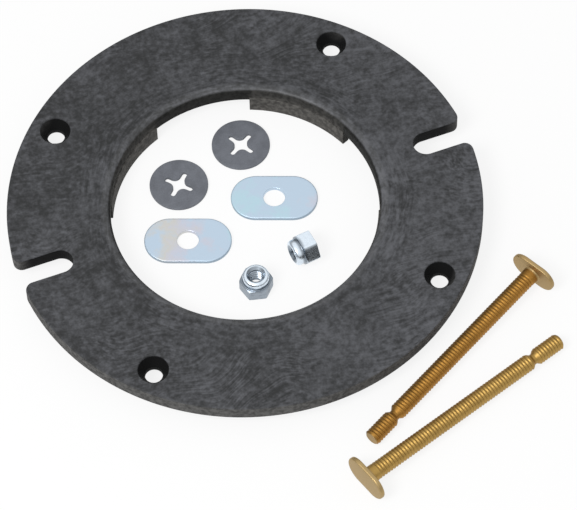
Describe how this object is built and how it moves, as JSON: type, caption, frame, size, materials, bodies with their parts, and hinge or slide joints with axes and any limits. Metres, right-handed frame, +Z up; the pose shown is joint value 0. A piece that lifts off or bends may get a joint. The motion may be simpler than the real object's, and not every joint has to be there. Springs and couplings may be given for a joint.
{
  "type": "toilet flange extension kit",
  "caption": "Thick plastic toilet flange spacer ring with open rim slots and countersunk holes, laid out with its snap-off bolts, retainer washers, oblong washers and open-end nuts.",
  "frame": {"origin": "middle of the laid-out kit's footprint, on the surface it lies on", "axes": "+Z up out of the surface; the ring's slots open along X, and the bolts lie on the -Y side of the ring"},
  "size_m": [0.184, 0.2198, 0.0127],
  "materials": {
    "black_plastic": "matt moulded charcoal, with flow marks",
    "grey_plastic": "satin slate grey",
    "zinc_plate": "bright zinc plate",
    "brass": "plain rolled brass"
  },
  "bodies": {
    "ring": {"flange_ring": "black_plastic"},
    "bolt_1": {"closet_bolt_1": "brass"},
    "bolt_2": {"closet_bolt_2": "brass"},
    "retainer_1": {"retainer_washer_1": "grey_plastic"},
    "retainer_2": {"retainer_washer_2": "grey_plastic"},
    "washer_1": {"oblong_washer_1": "zinc_plate"},
    "washer_2": {"oblong_washer_2": "zinc_plate"},
    "nut_1": {"open_end_nut_1": "zinc_plate"},
    "nut_2": {"open_end_nut_2": "zinc_plate"}
  },
  "joints": [
    {"name": "bolt_1_stand", "type": "hinge", "parent": "ring", "child": "bolt_1", "pos_m": [0.08758, -0.04213, 0.00044], "axis": [-0.4672, 0.8842, 0], "range_deg": [0, 91.6]},
    {"name": "bolt_2_stand", "type": "hinge", "parent": "ring", "child": "bolt_2", "pos_m": [-0.00286, -0.10103, 0.00044], "axis": [0.3165, -0.9486, 0], "range_deg": [0, 91.6]},
    {"name": "retainer_1_lift", "type": "slide", "parent": "ring", "child": "retainer_1", "axis": [0, 0, 1], "range_m": [0, 0.06]},
    {"name": "retainer_2_lift", "type": "slide", "parent": "ring", "child": "retainer_2", "axis": [0, 0, 1], "range_m": [0, 0.06]},
    {"name": "washer_1_lift", "type": "slide", "parent": "ring", "child": "washer_1", "axis": [0, 0, 1], "range_m": [0, 0.06]},
    {"name": "washer_2_lift", "type": "slide", "parent": "ring", "child": "washer_2", "axis": [0, 0, 1], "range_m": [0, 0.06]},
    {"name": "nut_1_lift", "type": "slide", "parent": "ring", "child": "nut_1", "axis": [0, 0, 1], "range_m": [0, 0.06]},
    {"name": "nut_2_lift", "type": "slide", "parent": "ring", "child": "nut_2", "axis": [0, 0, 1], "range_m": [0, 0.06]}
  ]
}
